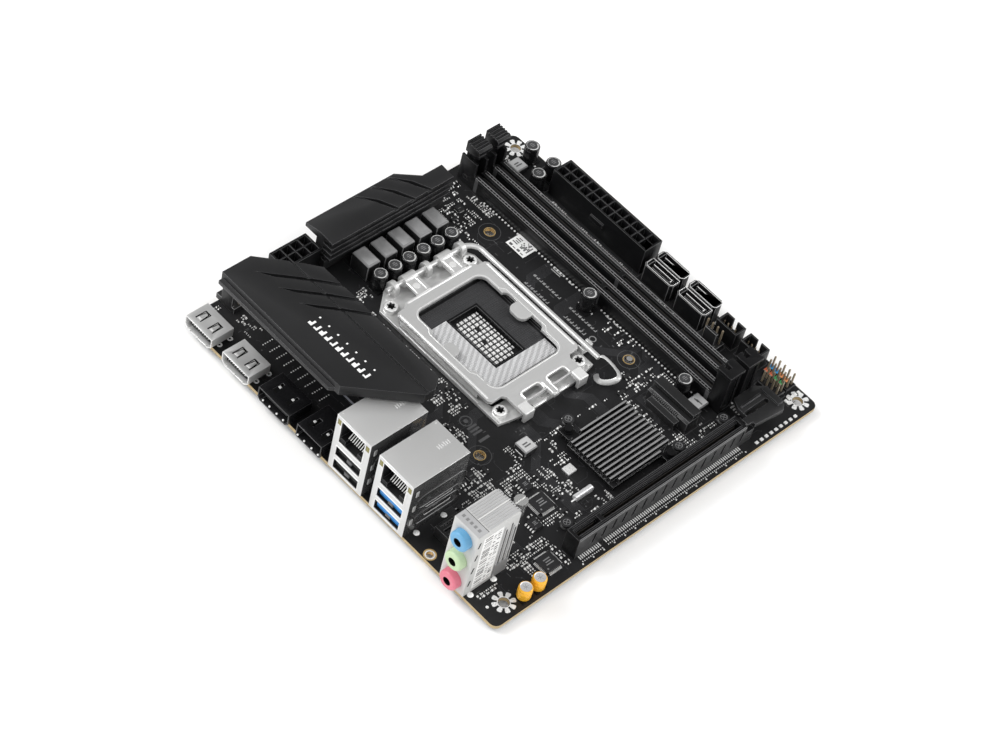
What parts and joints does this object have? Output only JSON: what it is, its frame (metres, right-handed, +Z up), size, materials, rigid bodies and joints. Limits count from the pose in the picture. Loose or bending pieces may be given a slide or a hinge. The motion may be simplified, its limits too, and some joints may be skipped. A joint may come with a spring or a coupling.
{
  "type": "computer motherboard",
  "caption": "Small square computer motherboard with a hinged processor socket, memory and expansion slots, black heat sinks, power and drive sockets and a row of rear ports.",
  "frame": {"origin": "centre of the square board on its underside", "axes": "+Z up from the component side, -X toward the rear ports, -Y toward the expansion slot"},
  "size_m": [0.1736, 0.1718, 0.039],
  "materials": {
    "board": "satin solder mask",
    "black_plastic": "moulded, matte",
    "dark_film": "matte film",
    "ivory_plastic": "moulded, matte",
    "grey_plastic": "moulded, satin",
    "blue_plastic": "moulded, matte",
    "sky_plastic": "moulded, satin",
    "lime_plastic": "moulded, satin",
    "pink_plastic": "moulded, satin",
    "lamp_plastic": "clear tinted",
    "chip_epoxy": "moulded epoxy, matte",
    "pad": "soft pad",
    "anodised": "black anodised, brushed",
    "bare_fins": "dark anodised",
    "steel": "nickel plated, brushed",
    "zinc_screw": "bright zinc",
    "shell_plate": "bright nickel",
    "black_shell": "black plated",
    "gold": "gold flash",
    "contact_gold": "pale flash",
    "tin": "tin plated",
    "can": "bright can",
    "dark_can": "dark can, bright rim",
    "ferrite": "pressed metal powder",
    "ceramic": "ceramic"
  },
  "bodies": {
    "board": {"pcb": "board", "socket_body": "black_plastic", "contact_field": "contact_gold", "socket_capacitors": "ceramic", "retention_frame": "steel", "retention_screws": "zinc_screw", "back_plate": "steel", "back_plate_film": "dark_film", "rear_heatsink": "anodised", "top_heatsink": "anodised", "heatsink_screws": "zinc_screw", "thermal_pads": "pad", "power_stages": "chip_epoxy", "chokes": "ferrite", "capacitors": "dark_can", "audio_capacitors": "can", "small_coils": "ferrite", "controller_chips": "chip_epoxy", "processor_power_housing": "black_plastic", "main_power_housing": "black_plastic", "power_pins": "tin", "memory_slot_1": "black_plastic", "memory_slot_2": "black_plastic", "memory_contacts": "gold", "expansion_slot": "black_plastic", "expansion_contacts": "gold", "hdmi_shell_1": "shell_plate", "hdmi_shell_2": "shell_plate", "displayport_shell": "black_shell", "single_usb_shell": "black_shell", "port_tongues": "black_plastic", "port_stack_shell_1": "shell_plate", "port_stack_shell_2": "shell_plate", "port_stack_insert_1": "black_plastic", "port_stack_insert_2": "black_plastic", "usb_tongues_1": "blue_plastic", "usb_tongues_2": "black_plastic", "lan_contacts": "gold", "lan_light_pipes": "lamp_plastic", "audio_housing": "ivory_plastic", "audio_jack_lower": "pink_plastic", "audio_jack_middle": "lime_plastic", "audio_jack_upper": "sky_plastic", "drive_ports_1": "black_plastic", "drive_ports_2": "black_plastic", "drive_contacts": "gold", "header_shrouds": "black_plastic", "pin_header_bases": "black_plastic", "header_pins": "gold", "fan_headers": "grey_plastic", "card_connector": "grey_plastic", "card_standoff": "zinc_screw", "chipset": "chip_epoxy", "chipset_heatsink": "bare_fins", "push_pins": "black_plastic"},
    "load_plate": {"load_plate": "steel"},
    "load_lever": {"load_lever": "steel"},
    "memory_latch_1": {"memory_latch_1": "black_plastic"},
    "memory_latch_2": {"memory_latch_2": "black_plastic"},
    "card_retainer": {"card_retainer": "grey_plastic"}
  },
  "joints": [
    {"name": "load_lever_hinge", "type": "hinge", "parent": "board", "child": "load_lever", "pos_m": [0.00133, 0.04951, 0.0062], "axis": [-1, 0, 0], "range_deg": [0, 130]},
    {"name": "load_plate_hinge", "type": "hinge", "parent": "board", "child": "load_plate", "pos_m": [0.00133, 0.04951, 0.0062], "axis": [-1, 0, 0], "range_deg": [0, 100]},
    {"name": "card_retainer_hinge", "type": "hinge", "parent": "board", "child": "card_retainer", "pos_m": [0.04951, -0.07709, 0.005], "axis": [0, 1, 0], "range_deg": [0, 14]},
    {"name": "memory_latch_1_hinge", "type": "hinge", "parent": "board", "child": "memory_latch_1", "pos_m": [0.05271, 0.07711, 0.0052], "axis": [-1, 0, 0], "range_deg": [0, 30]},
    {"name": "memory_latch_2_hinge", "type": "hinge", "parent": "board", "child": "memory_latch_2", "pos_m": [0.06287, 0.07711, 0.0052], "axis": [-1, 0, 0], "range_deg": [0, 30]}
  ]
}
